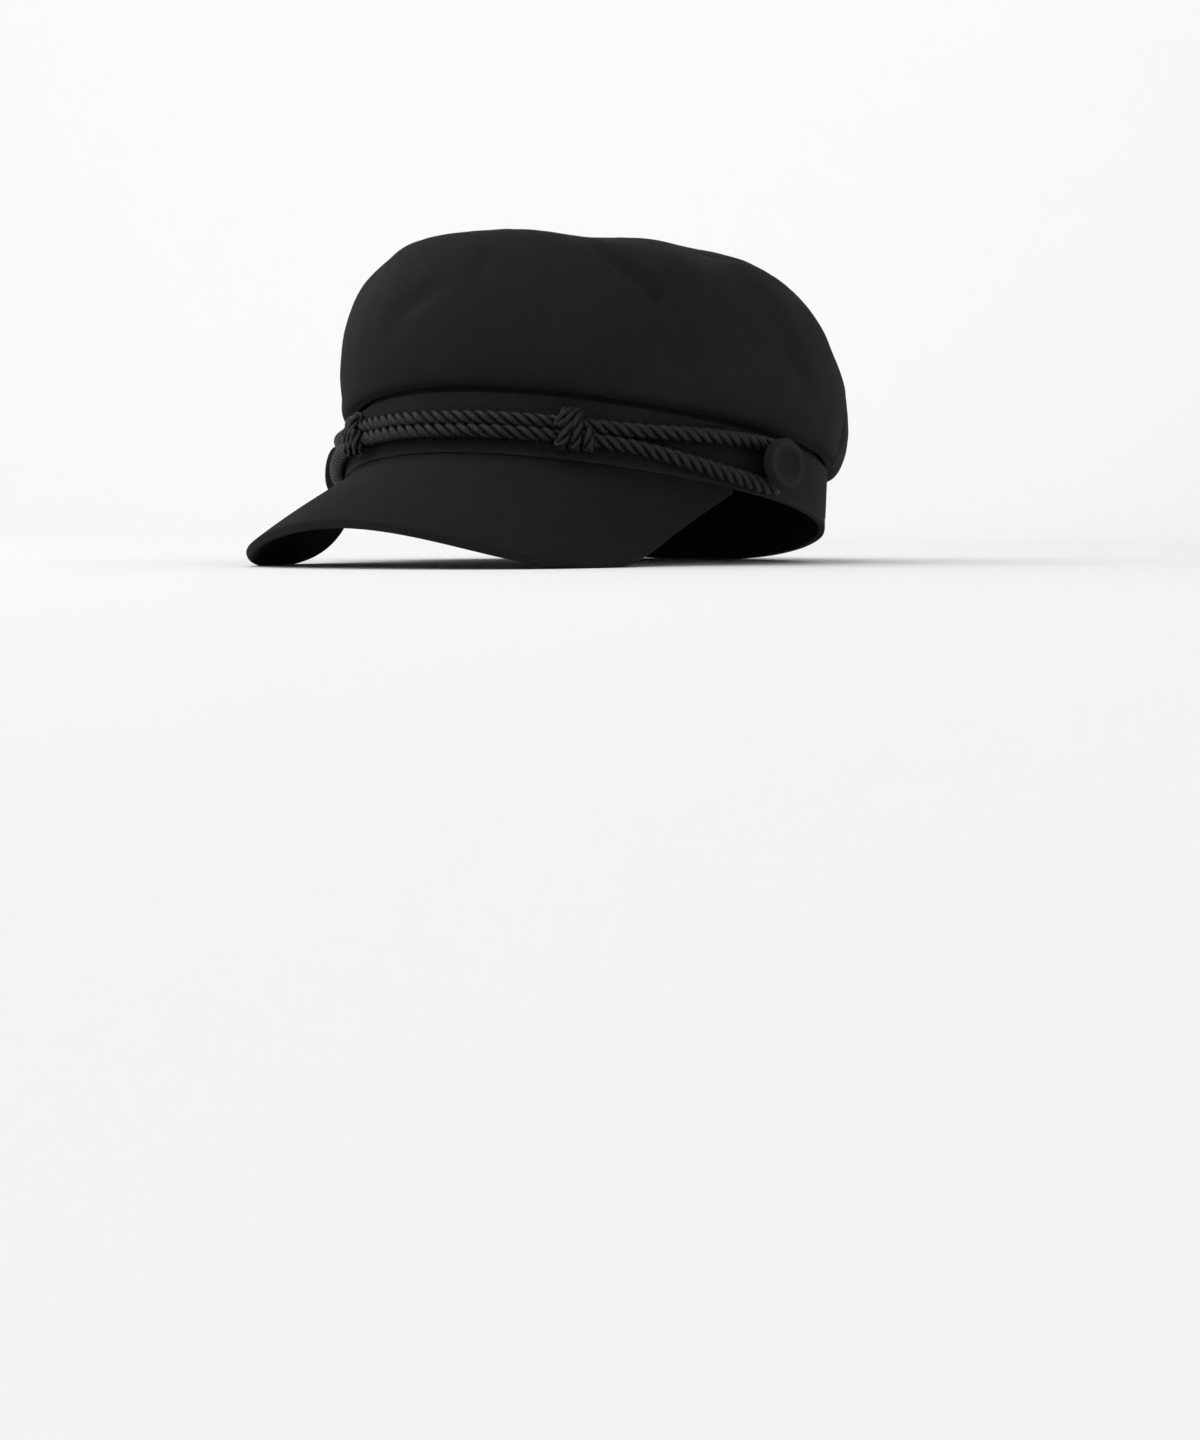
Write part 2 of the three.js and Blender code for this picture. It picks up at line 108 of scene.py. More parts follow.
# How the cloth lies beside a seam, in metres: puckers have a height, ribs per radian, a seed,
# the distance at which they start and how far they reach. Calm is where folds begin.
TOP_SEAM = dict(pucker=0.0004, ribs=13, seed=3.1, start=0.002, reach=0.008, calm=0.006)
FOOT_SEAM = dict(pucker=0.0005, ribs=10, seed=8.4, start=0.002, reach=0.012, calm=0.008)
TOP_SINK, TOP_SINK_WIDTH = 0.0009, 0.0019
FOOT_PINCH, FOOT_PINCH_AT = 0.0008, 0.0026
FOOT_LIFT, FOOT_LIFT_WIDTH = 0.0015, 0.0022
UNEVENNESS = ((0.0009, 0.034, 2.0), (0.00034, 0.011, 5.0))  # height, size and seed

# The seam allowance's section: how far out from the seam, and how deep under the cloth's face
ALLOWANCE = ((-0.0012, 0.0014), (0.0024, 0.0022), (0.0024, 0.0027), (-0.0012, 0.0020))

# The flat measure of the crown's cloth: round the cap, and up a wall that curves
# about a ring of this radius and height
MAP_RADIUS = 0.09
BAND_MAP_RADIUS = 0.0915
PEAK_MAP_RADIUS = 0.105
WALL_RING, WALL_RING_HEIGHT, WALL_CURVE = 0.05, 0.045, 0.04
WALL_MAP_LOW = 0.028

# Fine creases in the crown: way round in degrees, height up the wall, width and length in
# millimetres, lean from upright in degrees, depth in millimetres
CREASES = [
    dict(around=-6, up=31.5, wide=2.2, long=9, lean=-74, depth=2.1),  # brow crease
    dict(around=-12, up=28, wide=5, long=8, lean=-60, depth=1.2),  # brow hollow
    dict(around=7.2, up=40.5, wide=1.9, long=5, lean=20, depth=1.1),  # short front crease
    dict(around=52.5, up=24, wide=11, long=24, lean=-40, depth=4.4),  # left side hollow
    dict(around=36, up=45, wide=2.4, long=17, lean=61, depth=2.7),  # left shoulder fold
    dict(around=44, up=40, wide=2.6, long=8, lean=-35, depth=2.2),  # left shoulder tuck
    dict(around=78, up=34, wide=5.0, long=20, lean=40, depth=1.0),  # left drag line
    dict(around=104, up=14, wide=2.6, long=15, lean=-20, depth=2.0),  # left back pleat
    dict(around=112, up=14, wide=2.4, long=14, lean=-14, depth=-1.3),  # left back pleat edge
    dict(around=124, up=20, wide=2.6, long=14, lean=-8, depth=1.4),  # left back tuck
    dict(around=-58, up=25, wide=10, long=20, lean=35, depth=2.8),  # right side hollow
    dict(around=-84, up=36, wide=4.5, long=20, lean=-48, depth=1.0),  # right drag line
    dict(around=-116, up=16, wide=2.8, long=15, lean=12, depth=1.4),  # right back pleat
    dict(around=-134, up=22, wide=2.6, long=13, lean=18, depth=1.2),  # right back tuck
    dict(around=168, up=26, wide=3.2, long=16, lean=-24, depth=1.2),  # back crease
]

# Colours of the finishes: the darkest and the lightest thread, the darkest also standing for
# painted shade between threads, and a paler colour for worn edges with a painted highlight
CROWN_COLOURS = (
    (0.0068, 0.0062, 0.0063, 1), (0.0155, 0.0143, 0.0146, 1), (0.0235, 0.0222, 0.0224, 1))
# The peak is the same cloth as the crown: its colours are darker to paint shade on it
SHADED_PEAK_COLOURS = (
    (0.005, 0.0047, 0.0047, 1), (0.0108, 0.0101, 0.0101, 1), (0.019, 0.0178, 0.0176, 1))
BUTTON_COLOURS = (
    (0.0068, 0.0063, 0.0064, 1), (0.0148, 0.0138, 0.014, 1), (0.0245, 0.023, 0.0229, 1))
# The yarn's darker colour lies in the grooves between its plies: painted shade
YARN_COLOURS = ((0.002, 0.0019, 0.0019, 1), (0.0096, 0.009, 0.0091, 1))

# The room: floor, daylight, and soft lights with the place, aim, size and power of each
FLOOR_COLOUR = (0.86, 0.858, 0.862, 1)
DAYLIGHT, DAYLIGHT_STRENGTH = (0.98, 0.977, 1.0, 1), 0.68
LIGHTS = (
    ("left_window", (-1.3, -1.2, 1.0), (0, 0, 0.06), (1.4, 1.1), 8),
    ("overhead", (-0.6, -0.45, 1.65), (0, 0, 0.06), (2.0, 2.0), 15.6),
    ("backdrop_light", (-0.6, 1.05, 1.35), (-1.2, 2.15, 0.7), (1.8, 0.6), 5.2),
)

# The camera: its place, how far it looks down and is turned in degrees, and its lens in mm
CAMERA_PLACE = (0.428, -0.7332, 0.0143)
CAMERA_DOWN, CAMERA_TURN = 4.715, 29.22
CAMERA_LENS = 60


# ---------- places on the cap ----------
def outline(angle, out, height):
    """Points beside the band's outline, in the band's own frame. Angle 0 is the front."""
    def edge(a):
        pull = 1 - CORNER_PULL * np.sin(2 * a) ** 2
        return np.stack([HALF_WIDTH * pull * np.sin(a), -HALF_LENGTH * pull * np.cos(a)], -1)

    angle = np.asarray(angle, float)
    step = 0.001
    along = edge(angle + step) - edge(angle - step)
    side = np.stack([along[..., 1], -along[..., 0]], -1)
    side /= np.linalg.norm(side, axis=-1, keepdims=True)
    place = edge(angle) + side * np.asarray(out, float)[..., None]
    height = np.broadcast_to(np.asarray(height, float), angle.shape)
    return np.concatenate([place, height[..., None]], -1)


def at_rest(points):
    """Moves points from the band's frame to the cap's place on the floor."""
    turn = np.array(AT_REST)
    return np.asarray(points) @ turn[:3, :3].T + turn[:3, 3]


def in_band_frame(points):
    """Moves points back from the cap's place on the floor to the band's frame."""
    turn = np.array(AT_REST.inverted())
    return np.asarray(points) @ turn[:3, :3].T + turn[:3, 3]


def angle_round(points):
    """The way round the band, 0 at the front, of points in the band's frame."""
    return np.arctan2(points[..., 0] / HALF_WIDTH, -points[..., 1] / HALF_LENGTH)


def band_lean(height):
    """How far the band's face lies inside its outline at a height."""
    return -BAND_TAPER * np.clip(np.asarray(height, float) / BAND_HEIGHT, 0, 1)


def lengths_along(line):
    """How far along a line each of its points lies."""
    steps = np.linalg.norm(np.diff(line, axis=0), axis=1)
    return np.concatenate([[0], np.cumsum(steps)])


ARC_ANGLES = np.linspace(0, math.pi, 721)
ARC_LENGTHS = lengths_along(outline(ARC_ANGLES, 0 * ARC_ANGLES, 0))


def arc_at(angle):
    """The way round from the front, in metres."""
    return math.copysign(float(np.interp(abs(angle), ARC_ANGLES, ARC_LENGTHS)), angle)


def face_point(arc, height, out):
    """Points off the band's face, placed by the way round from the front and the height."""
    angle = np.sign(arc) * np.interp(np.abs(arc), ARC_LENGTHS, ARC_ANGLES)
    return outline(angle, band_lean(height) + out, height)


def outward_at(angle):
    """The direction straight out of the band at an angle."""
    step = 0.001
    away = outline(angle, np.full(len(angle), step), 0) - outline(angle, np.zeros(len(angle)), 0)
    return away / step


def falloff(distance, width):
    """1 on a line, fading smoothly to nothing a few widths away."""
    return np.exp(-(distance / width) ** 2)


KNOT_ARC = arc_at(KNOT_ANGLE)
BUTTON_ARC = arc_at(BUTTON_ANGLE)


# ---------- modelling helpers ----------
def pick(obj):
    """Makes one object the selected and active one, in object mode."""
    if bpy.context.object and bpy.context.object.mode != "OBJECT":
        bpy.ops.object.mode_set(mode="OBJECT")
    bpy.ops.object.select_all(action="DESELECT")
    obj.select_set(True)
    bpy.context.view_layer.objects.active = obj


def edit(obj, select_mode="FACE"):
    """Opens an object in edit mode."""
    pick(obj)
    bpy.ops.object.mode_set(mode="EDIT")
    bpy.ops.mesh.select_mode(type=select_mode)


def edit_all(obj):
    """Opens an object in edit mode with all of it selected."""
    edit(obj)
    bpy.ops.mesh.select_all(action="SELECT")


def edit_border(obj):
    """Opens an object in edit mode with its open border selected."""
    edit(obj, "EDGE")
    bpy.ops.mesh.select_all(action="DESELECT")
    bpy.ops.mesh.select_non_manifold(extend=False)


def face_outwards(obj):
    """Turns all faces of a closed mesh outwards."""
    edit_all(obj)
    bpy.ops.mesh.normals_make_consistent(inside=False)
    pick(obj)


def finish_modifier(obj, kind, **settings):
    """Adds a modifier and applies it."""
    pick(obj)
    modifier = obj.modifiers.new(kind.title(), kind)
    for key, value in settings.items():
        setattr(modifier, key, value)
    bpy.ops.object.modifier_apply(modifier=modifier.name)


def subdivide(obj, levels):
    finish_modifier(obj, "SUBSURF", levels=levels, render_levels=levels)


def select_edges(obj, wanted):
    """Selects just the edges that a rule on their two ends picks out."""
    edit(obj, "EDGE")
    bpy.ops.mesh.select_all(action="DESELECT")
    bpy.ops.object.mode_set(mode="OBJECT")
    for edge in obj.data.edges:
        edge.select = wanted(*(obj.data.vertices[i].co for i in edge.vertices))
    bpy.ops.object.mode_set(mode="EDIT")


def select_faces(obj, wanted):
    """Selects just the faces that a rule on the face picks out."""
    edit(obj)
    bpy.ops.mesh.select_all(action="DESELECT")
    bpy.ops.object.mode_set(mode="OBJECT")
    for face in obj.data.polygons:
        face.select = wanted(face)
    bpy.ops.object.mode_set(mode="EDIT")


def points_of(obj):
    co = np.empty(len(obj.data.vertices) * 3)
    obj.data.vertices.foreach_get("co", co)
    return co.reshape(-1, 3)


def put_points(obj, points):
    obj.data.vertices.foreach_set("co", np.asarray(points, float).ravel())
    obj.data.update()


def normals_of(obj):
    return np.array([v.normal for v in obj.data.vertices])


def mark(obj, name, values):
    """Keeps a value from 0 to 1 at every point, for the finish to read."""
    layer = obj.data.attributes.new(name, "FLOAT", "POINT")
    layer.data.foreach_set("value", np.clip(np.asarray(values, float), 0, 1))


def cloth_grid(name, place, around, rows):
    """A grid laid round the cap: place(u, v) puts each point, and its own UV map is in metres."""
    bpy.ops.mesh.primitive_grid_add(x_subdivisions=around, y_subdivisions=rows, size=1)
    obj = bpy.context.object
    obj.name = obj.data.name = name
    grid = points_of(obj)
    u, v = grid[:, 0] + 0.5, grid[:, 1] + 0.5
    points, flat = place(u, v)
    put_points(obj, points)
    layer = obj.data.uv_layers.active or obj.data.uv_layers.new(name="UVMap")
    corner = np.empty(len(obj.data.loops), int)
    obj.data.loops.foreach_get("vertex_index", corner)
    layer.data.foreach_set("uv", flat[corner].ravel())
    edit_all(obj)
    bpy.ops.mesh.remove_doubles(threshold=1e-6)
    face_outwards(obj)
    return obj


def directions(line, closed=True):
    """The way ahead at each point of a line."""
    if closed:
        ahead = np.roll(line, -1, axis=0) - np.roll(line, 1, axis=0)
    else:
        ahead = np.gradient(line, axis=0)
    return ahead / np.linalg.norm(ahead, axis=1, keepdims=True)


def tube_faces(rings, sides, closed):
    """The faces of a tube, ring after ring."""
    faces = []
    for i in range(rings if closed else rings - 1):
        j = (i + 1) % rings
        for k in range(sides):
            m = (k + 1) % sides
            faces.append((i * sides + k, i * sides + m, j * sides + m, j * sides + k))
    return faces


def new_mesh(name, points, faces):
    """A new object from points and faces."""
    mesh = bpy.data.meshes.new(name)
    mesh.from_pydata(points.reshape(-1, 3).tolist(), [], faces)
    obj = bpy.data.objects.new(name, mesh)
    bpy.context.scene.collection.objects.link(obj)
    return obj


def solid_copy(node, name):
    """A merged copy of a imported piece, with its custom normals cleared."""
    obj = bpy.data.objects.new(name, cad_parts[node].data.copy())
    bpy.context.scene.collection.objects.link(obj)
    obj.data.name = name
    obj.data.materials.clear()
    pick(obj)
    bpy.ops.mesh.customdata_custom_splitnormals_clear()
    edit_all(obj)
    bpy.ops.mesh.remove_doubles(threshold=1e-5)
    pick(obj)
    return obj


def quads(obj):
    """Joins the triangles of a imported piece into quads."""
    limit = math.radians(60)
    edit_all(obj)
    bpy.ops.mesh.tris_convert_to_quads(face_threshold=limit, shape_threshold=limit)
    pick(obj)


def join(name, parts):
    """Joins objects into one."""
    bpy.ops.object.select_all(action="DESELECT")
    for part in parts:
        part.select_set(True)
    bpy.context.view_layer.objects.active = parts[0]
    bpy.ops.object.join()
    whole = bpy.context.object
    whole.name = whole.data.name = name
    return whole


def shortest_edge(mesh, face):
    corners = [mesh.vertices[i].co for i in face.vertices]
    return min((a - b).length for a, b in zip(corners, corners[1:] + corners[:1]))


def ride(obj, finish, node):
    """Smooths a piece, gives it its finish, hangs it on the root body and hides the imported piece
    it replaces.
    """
    pick(obj)
    bpy.ops.object.shade_smooth()
    obj.data.materials.clear()
    obj.data.materials.append(finish)
    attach(obj, "root")
    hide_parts(node)


# ---------- finishes ----------
def math_node(tree, operation, *values):
    """A sum in a node tree: each value is a number or another node's output."""
    node = tree.nodes.new("ShaderNodeMath")
    node.operation = operation
    for socket, value in zip(node.inputs, values):
        if isinstance(value, (int, float)):
            socket.default_value = value
        else:
            tree.links.new(value, socket)
    return node.outputs[0]


def new_group(name, inputs, outputs):
    """An empty shader group with named inputs and outputs."""
    tree = bpy.data.node_groups.new(name, "ShaderNodeTree")
    for label, kind, value in inputs:
        socket = tree.interface.new_socket(label, in_out="INPUT", socket_type=kind)
        if value is not None:
            socket.default_value = value
    for label, kind in outputs:
        tree.interface.new_socket(label, in_out="OUTPUT", socket_type=kind)
    start = tree.nodes.new("NodeGroupInput")
    end = tree.nodes.new("NodeGroupOutput")
    return tree, start.outputs, end.inputs


def noise_node(tree, place, scale, detail=2.0, rough=0.5, stretch=None):
    if stretch:
        mapping = tree.nodes.new("ShaderNodeMapping")
        mapping.inputs["Scale"].default_value = stretch
        tree.links.new(place, mapping.inputs["Vector"])
        place = mapping.outputs[0]
    node = tree.nodes.new("ShaderNodeTexNoise")
    node.inputs["Detail"].default_value = detail
    node.inputs["Roughness"].default_value = rough
    if isinstance(scale, (int, float)):
        node.inputs["Scale"].default_value = scale
    else:
        tree.links.new(scale, node.inputs["Scale"])
    tree.links.new(place, node.inputs["Vector"])
    return node.outputs["Fac"]


def weave_group():
    """Plain weave: threads that go over and under each other, uneven in thickness, with a tone that
    is darker where they dip, as painted shade.
    """
    tree, given, result = new_group(
        "plain weave",
        [("Place", "NodeSocketVector", None), ("Threads per metre", "NodeSocketFloat", 2200.0),
         ("Unevenness", "NodeSocketFloat", 0.35)],
        [("Height", "NodeSocketFloat"), ("Thread tone", "NodeSocketFloat")],
    )
    place, per_metre, uneven = given["Place"], given["Threads per metre"], given["Unevenness"]
    waver_scale, waver_depth = 220.0, 1.6
    slub_long, slub_short = 160.0, 2400.0

    def do(operation, *values):
        return math_node(tree, operation, *values)

    def thread(position):
        """How far a point lies along the threads in one direction, counted in threads."""
        return do("ADD", do("MULTIPLY", position, per_metre), waver)

    def ridge(position):
        return do("ABSOLUTE", do("SINE", do("MULTIPLY", position, math.pi)))

    def whichever(first, second):
        """The first value where its thread lies over the other, and the second elsewhere."""
        return do("ADD", do("MULTIPLY", first, over), do("MULTIPLY", second, under))

    split = tree.nodes.new("ShaderNodeSeparateXYZ")
    tree.links.new(place, split.inputs[0])
    waver = noise_node(tree, place, waver_scale)
    waver = do("MULTIPLY", do("SUBTRACT", waver, 0.5), waver_depth)
    across, down = thread(split.outputs[0]), thread(split.outputs[1])
    over = do("PINGPONG", do("ADD", do("FLOOR", across), do("FLOOR", down)), 1.0)
    under = do("SUBTRACT", 1.0, over)
    woven = whichever(ridge(across), ridge(down))
    slub = whichever(noise_node(tree, place, 1.0, 2.0, 0.6, (slub_short, slub_long, 1.0)),
                     noise_node(tree, place, 1.0, 2.0, 0.6, (slub_long, slub_short, 1.0)))
    slub = do("MULTIPLY", do("SUBTRACT", slub, 0.5), uneven)
    # Thread tone: uneven threads, plus painted shade where the threads dip under each other
    tone = do("ADD", do("MULTIPLY", woven, 0.5), do("ADD", 0.5, slub))
    tree.links.new(do("ADD", woven, slub), result["Height"])
    tree.links.new(tone, result["Thread tone"])
    return tree


def wear_and_highlight_group():
    """Where the cloth is paler along marked edges, partly from wear and partly as a painted
    highlight, and the soft clouding of its dye.
    """
    # This group paints marked edges paler: wear, and a painted highlight on raised seams and rims
    tree, given, result = new_group(
        "rubbed cloth",
        [("Place", "NodeSocketVector", None), ("Edge", "NodeSocketFloat", 0.0),
         ("Cloud size", "NodeSocketFloat", 40.0)],
        [("Worn_and_highlit", "NodeSocketFloat"), ("Clouding", "NodeSocketFloat")],
    )
    patch_scale, least_wear_highlight = 260.0, 0.35
    cloud = noise_node(tree, given["Place"], given["Cloud size"], 3.0, 0.55)
    patchy = noise_node(tree, given["Place"], patch_scale, 3.0, 0.6)
    patchy = math_node(tree, "ADD", least_wear_highlight, patchy)
    # Paler edges: wear, and a painted highlight on raised seams and rims
    wear_and_highlight = math_node(tree, "MULTIPLY", given["Edge"], patchy)
    tree.links.new(math_node(tree, "MINIMUM", wear_and_highlight, 1.0), result["Worn_and_highlit"])
    tree.links.new(cloud, result["Clouding"])
    return tree


def ply_group():
    """Fine plies that wind along a strand of yarn, with painted shade in the grooves between them.
    """
    tree, given, result = new_group(
        "yarn plies",
        [("Place", "NodeSocketVector", None), ("Plies per metre", "NodeSocketFloat", 900.0),
         ("Turns", "NodeSocketFloat", 5.0)],
        [("Height", "NodeSocketFloat"), ("Ply tone", "NodeSocketFloat")],
    )
    fuzz_stretch, fuzz_share, ply_share = (1500.0, 14.0, 1.0), 0.5, 0.6

    def do(operation, *values):
        return math_node(tree, operation, *values)

    split = tree.nodes.new("ShaderNodeSeparateXYZ")
    tree.links.new(given["Place"], split.inputs[0])
    along = do("MULTIPLY", split.outputs[0], given["Plies per metre"])
    round_it = do("MULTIPLY", split.outputs[1], given["Turns"])
    height = do("ABSOLUTE", do("SINE", do("MULTIPLY", do("SUBTRACT", along, round_it), math.pi)))
    fuzz = noise_node(tree, given["Place"], 1.0, 2.0, 0.6, fuzz_stretch)
    fuzz = do("MULTIPLY", fuzz, fuzz_share)
    tree.links.new(do("ADD", height, fuzz), result["Height"])
    # Ply tone: painted shade in the grooves between plies, plus random fuzz
    tree.links.new(do("MULTIPLY_ADD", height, ply_share, fuzz), result["Ply tone"])
    return tree


WEAVE = weave_group()
WEAR_AND_HIGHLIGHT = wear_and_highlight_group()
PLIES = ply_group()


def use_group(tree, group, **values):
    """Places a shader group with its values and gives its outputs."""
    node = tree.nodes.new("ShaderNodeGroup")
    node.node_tree = group
    for label, value in values.items():
        socket = node.inputs[label.replace("_", " ")]
        if isinstance(value, (int, float)):
            socket.default_value = value
        else:
            tree.links.new(value, socket)
    return node.outputs


def blend_colours(tree, factor, low, high):
    """A mix of two colours, each a plain colour or another node's output."""
    node = tree.nodes.new("ShaderNodeMix")
    node.data_type = "RGBA"
    for socket, value in ((node.inputs[0], factor), (node.inputs[6], low), (node.inputs[7], high)):
        if isinstance(value, tuple):
            socket.default_value = value
        else:
            tree.links.new(value, socket)
    return node.outputs[2]


def own_map(tree):
    """The piece's own UV map."""
    node = tree.nodes.new("ShaderNodeUVMap")
    node.uv_map = "UVMap"
    return node.outputs[0]


def new_finish(name, roughness, gloss, sheen, sheen_roughness):
    finish = bpy.data.materials.new(name)
    finish.use_nodes = True
    tree = finish.node_tree
    shader = tree.nodes["Principled BSDF"]
    shader.inputs["Roughness"].default_value = roughness
    shader.inputs["Sheen Weight"].default_value = sheen
    shader.inputs["Sheen Roughness"].default_value = sheen_roughness
    shader.inputs["Specular IOR Level"].default_value = gloss
    return finish, tree, shader


def bump(tree, shader, height, distance, strength):
    node = tree.nodes.new("ShaderNodeBump")
    node.inputs["Strength"].default_value = strength
    node.inputs["Distance"].default_value = distance
    tree.links.new(height, node.inputs["Height"])
    tree.links.new(node.outputs[0], shader.inputs["Normal"])


def cloth_finish(name, dark, light, wear_and_highlight):
    """Plain-woven cloth, clouded, with paler edges of wear and painted highlight, in three colours.
    """
    finish, tree, shader = new_finish(
        name, roughness=0.94, gloss=0.1, sheen=0.012, sheen_roughness=0.5)
    cloud_share, thread_share = 0.5, 0.6
    place = own_map(tree)
    edge = tree.nodes.new("ShaderNodeAttribute")
    edge.attribute_name = "wear_and_highlight"
    weave = use_group(tree, WEAVE, Place=place)
    wear_highlight_and_clouding = use_group(tree, WEAR_AND_HIGHLIGHT, Place=place, Edge=edge.outputs["Fac"])
    # The thread tone holds painted shade where the threads dip
    thread = math_node(tree, "MULTIPLY", weave["Thread tone"], thread_share)
    tone = math_node(tree, "MULTIPLY_ADD", wear_highlight_and_clouding["Clouding"], cloud_share, thread)
    colour = blend_colours(tree, tone, dark, light)
    # Blends in the paler colour at marked edges: wear, and a painted highlight
    colour = blend_colours(tree, wear_highlight_and_clouding["Worn_and_highlit"], colour, wear_and_highlight)
    tree.links.new(colour, shader.inputs["Base Color"])
    bump(tree, shader, weave["Height"], distance=0.00012, strength=0.7)
    return finish


def yarn_finish(name, dark, light):
    """Smooth twisted yarn with a low gloss."""
    finish, tree, shader = new_finish(
        name, roughness=0.44, gloss=0.24, sheen=0.0, sheen_roughness=0.3)
    plies = use_group(tree, PLIES, Place=own_map(tree))
    colour = blend_colours(tree, plies["Ply tone"], dark, light)
    tree.links.new(colour, shader.inputs["Base Color"])
    bump(tree, shader, plies["Height"], distance=0.00015, strength=0.8)
    return finish


CROWN_CLOTH = cloth_finish("black_crown_cloth", *CROWN_COLOURS)
SHADED_PEAK_CLOTH = cloth_finish("black_peak_cloth_painted_shade", *SHADED_PEAK_COLOURS)
BUTTON_CLOTH = cloth_finish("black_button_cloth", *BUTTON_COLOURS)
CORD_YARN = yarn_finish("black_cord_yarn", *YARN_COLOURS)


# ---------- crown ----------
def wall_flat(points):
    """Where a point of the crown's wall lies on its flat cloth: round the cap, and up the wall."""
    angle = angle_round(points)
    radius = np.hypot(points[..., 0], points[..., 1])
    up = np.arctan2(points[..., 2] - WALL_RING_HEIGHT, radius - WALL_RING)
    return np.stack([angle * MAP_RADIUS, up * WALL_CURVE], -1)


def seen_from_above(points):
    return points[..., :2]


def lay_flat_map(obj, flat_of):
    """Writes the cloth's flat measure as a UV map, face by face, so it tears inside no face."""
    mesh = obj.data
    while mesh.uv_layers:
        mesh.uv_layers.remove(mesh.uv_layers[0])
    layer = mesh.uv_layers.new(name="UVMap")
    flat = flat_of(in_band_frame(points_of(obj)))
    turn_round = 2 * math.pi * MAP_RADIUS
    for face in mesh.polygons:
        loops = list(face.loop_indices)
        corners = [mesh.loops[i].vertex_index for i in loops]
        first = flat[corners[0]]
        for loop, corner in zip(loops, corners):
            u, v = flat[corner]
            u -= round((u - first[0]) / turn_round) * turn_round
            layer.data[loop].uv = (u, v)


def outer_wall(obj, rim_width):
    """Keeps only the cloth's outer face: away go the narrow rims and the faces that look inward."""
    low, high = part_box("crown_side")
    middle = (low + high) / 2

    def unwanted(face):
        looks_in = face.normal.dot(face.center - middle) < 0
        return looks_in or shortest_edge(obj.data, face) < rim_width

    select_faces(obj, unwanted)
    bpy.ops.mesh.delete(type="FACE")
    pick(obj)


def point_tree(points):
    """A search tree of points."""
    tree = KDTree(len(points))
    for i, point in enumerate(points):
        tree.insert(Vector(point), i)
    tree.balance()
    return tree


def border_of(obj):
    """The points of the open border, by number."""
    uses = {}
    for face in obj.data.polygons:
        for key in face.edge_keys:
            uses[key] = uses.get(key, 0) + 1
    return sorted({i for key, count in uses.items() if count == 1 for i in key})


def border_tree(obj, wanted):
    """A search tree of the open border's points that a rule picks out."""
    places = [obj.data.vertices[i].co for i in border_of(obj)]
    return point_tree([co for co in places if wanted(co)])


def distances(tree, points):
    """How far each point is from the nearest one in a search tree."""
    return np.array([tree.find(Vector(p))[2] for p in points])


def clouds(points, size, seed):
    """Soft unevenness over the cloth, of one size."""
    shift = Vector((seed, seed * 1.7, -seed))
    return np.array([noise.noise(Vector(p) / size + shift) for p in points])


def uneven_round(angles, per_radian, seed):
    """Soft unevenness that depends on the way round alone."""
    return np.array([
        noise.noise(Vector((math.sin(a) * per_radian, math.cos(a) * per_radian, seed)))
        for a in angles])


def crease_depth(flat):
    """How deep the creases lie at points of the crown's flat cloth."""
    half_round = math.pi * MAP_RADIUS
    depth = np.zeros(len(flat))
    for crease in CREASES:
        middle = math.radians(crease["around"]) * MAP_RADIUS
        lean = math.radians(crease["lean"])
        across = (flat[:, 0] - middle + half_round) % (2 * half_round) - half_round
        raised = flat[:, 1] - (crease["up"] / 1000 - WALL_MAP_LOW)
        side = across * math.cos(lean) + raised * math.sin(lean)
        along = -across * math.sin(lean) + raised * math.cos(lean)
        fade = -(side / (crease["wide"] / 1000)) ** 2 - (along / (crease["long"] / 1000)) ** 2
        depth += crease["depth"] / 1000 * np.exp(fade)
    return depth


def puckers(angle, away, seam):
    """Uneven ribs that run across a seam, and leave the seam itself straight."""
    rib = seam["pucker"] * uneven_round(angle, seam["ribs"], seam["seed"])
    return rib * np.exp(-away / seam["reach"]) * (1 - falloff(away, seam["start"]))


def soften(obj, seam, foot):
    """Sinks the cloth into its seams and gives it puckers, creases and a soft unevenness."""
    points = points_of(obj)
    own = in_band_frame(points)
    angle = angle_round(own)
    band_up = np.array(AT_REST)[:3, 2]
    to_seam = distances(seam, points)
    move = puckers(angle, to_seam, TOP_SEAM)
    free = 1 - falloff(to_seam, TOP_SEAM["calm"])
    raised = -TOP_SINK * falloff(to_seam, TOP_SINK_WIDTH)
    if foot:
        to_foot = distances(foot, points)
        share = to_foot / FOOT_PINCH_AT
        move += puckers(angle, to_foot, FOOT_SEAM)
        move -= FOOT_PINCH * share * np.exp(1 - share)
        free *= 1 - falloff(to_foot, FOOT_SEAM["calm"])
        move -= crease_depth(wall_flat(own)) * free
        raised += FOOT_LIFT * falloff(to_foot, FOOT_LIFT_WIDTH)
    for height, size, seed in UNEVENNESS:
        move += height * clouds(points, size, seed) * free
    put_points(obj, points + normals_of(obj) * move[:, None] + band_up * raised[:, None])
    # A paler line just beside the top seam, on its ridge: wear and a painted highlight
    wear_highlight_at, wear_highlight_width, wear_highlight_share = 0.0028, 0.0016, 0.6
    mark(obj, "wear_and_highlight", falloff(to_seam - wear_highlight_at, wear_highlight_width) * wear_highlight_share)


def thicken(obj):
    """Gives the cloth its thickness, inwards."""
    finish_modifier(obj, "SOLIDIFY", thickness=CLOTH, offset=-1.0, use_even_offset=True)


